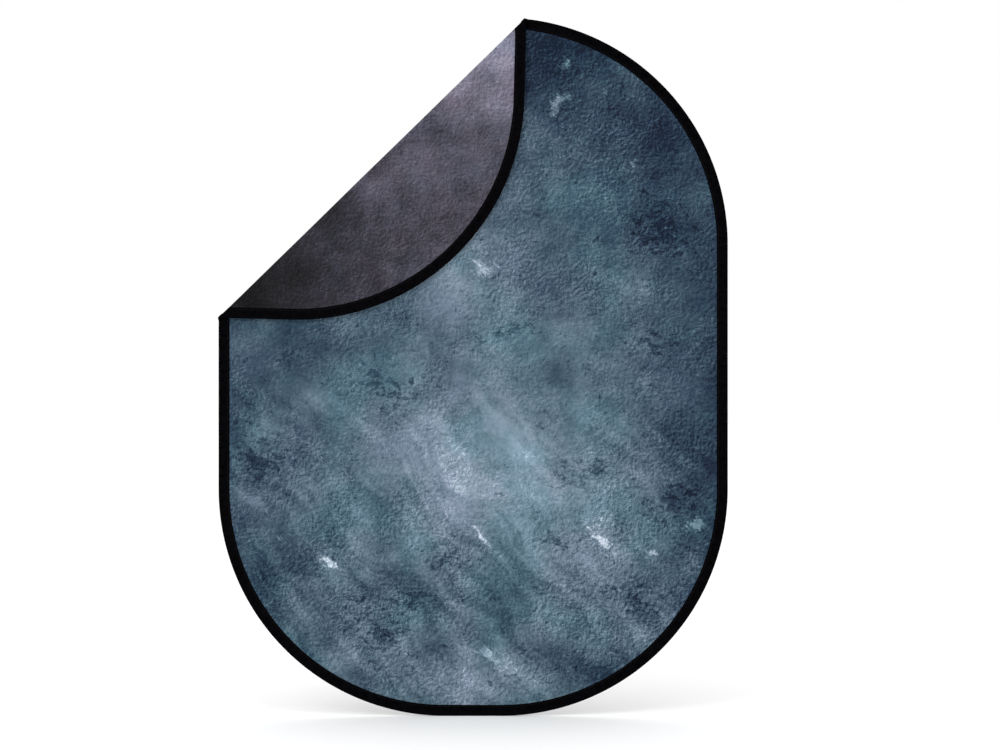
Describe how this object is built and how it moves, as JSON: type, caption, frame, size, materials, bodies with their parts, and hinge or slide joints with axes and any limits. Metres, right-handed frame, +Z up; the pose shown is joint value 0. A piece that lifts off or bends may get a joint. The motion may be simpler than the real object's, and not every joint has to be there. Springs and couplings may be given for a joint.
{
  "type": "collapsible backdrop panel",
  "caption": "Upright round-cornered photo backdrop: two printed cloths on a sprung steel hoop with black edge binding, one top corner turned over to show the reverse.",
  "frame": {"origin": "middle of the panel's bottom edge, on the outer face of the binding, half way through the panel's thickness", "axes": "+Z up the panel, +X to the right as seen from the front print, +Y out of the back; the front print faces -Y"},
  "size_m": [1.5038, 0.026, 2.0565],
  "materials": {
    "front_print": "matte",
    "reverse_print": "matte",
    "binding_tape": "matte",
    "spring_steel": "satin",
    "sleeve_steel": "satin",
    "rivet_aluminium": "satin"
  },
  "bodies": {
    "upper_panel": {"upper_front_cloth": "front_print", "upper_back_cloth": "reverse_print", "upper_left_binding": "binding_tape", "upper_left_hoop": "spring_steel", "upper_right_binding": "binding_tape", "upper_right_hoop": "spring_steel", "crease_front_cloth": "front_print", "crease_back_cloth": "reverse_print", "crease_left_binding": "binding_tape", "crease_left_hoop": "spring_steel", "crease_top_binding": "binding_tape", "crease_top_hoop": "spring_steel", "bend_front_cloth": "front_print", "bend_back_cloth": "reverse_print", "bend_left_binding": "binding_tape", "bend_left_hoop": "spring_steel", "bend_right_binding": "binding_tape", "bend_right_hoop": "spring_steel"},
    "corner_flap": {"corner_front_cloth": "front_print", "corner_back_cloth": "reverse_print", "corner_binding": "binding_tape", "corner_hoop": "spring_steel"},
    "lower_panel": {"lower_front_cloth": "front_print", "lower_back_cloth": "reverse_print", "lower_binding": "binding_tape", "lower_left_hoop": "spring_steel", "lower_right_hoop": "spring_steel", "hoop_sleeve": "sleeve_steel", "sleeve_rivet_1": "rivet_aluminium", "sleeve_rivet_2": "rivet_aluminium", "sleeve_rivet_3": "rivet_aluminium", "sleeve_rivet_4": "rivet_aluminium"}
  },
  "joints": [
    {"name": "corner_fold", "type": "hinge", "parent": "upper_panel", "child": "corner_flap", "pos_m": [-0.75, -0.007, 1.172], "axis": [-0.7157, 0, -0.6984], "range_deg": [0, 179.9], "deforming": ["crease_front_cloth", "crease_back_cloth", "crease_left_binding", "crease_left_hoop", "crease_top_binding", "crease_top_hoop"]},
    {"name": "half_fold", "type": "hinge", "parent": "upper_panel", "child": "lower_panel", "pos_m": [0, 0.015, 1.028], "axis": [1, 0, 0], "range_deg": [0, 179.9], "stiffness_Nm_per_rad": 0.6, "deforming": ["bend_front_cloth", "bend_back_cloth", "bend_left_binding", "bend_left_hoop", "bend_right_binding", "bend_right_hoop"]}
  ]
}
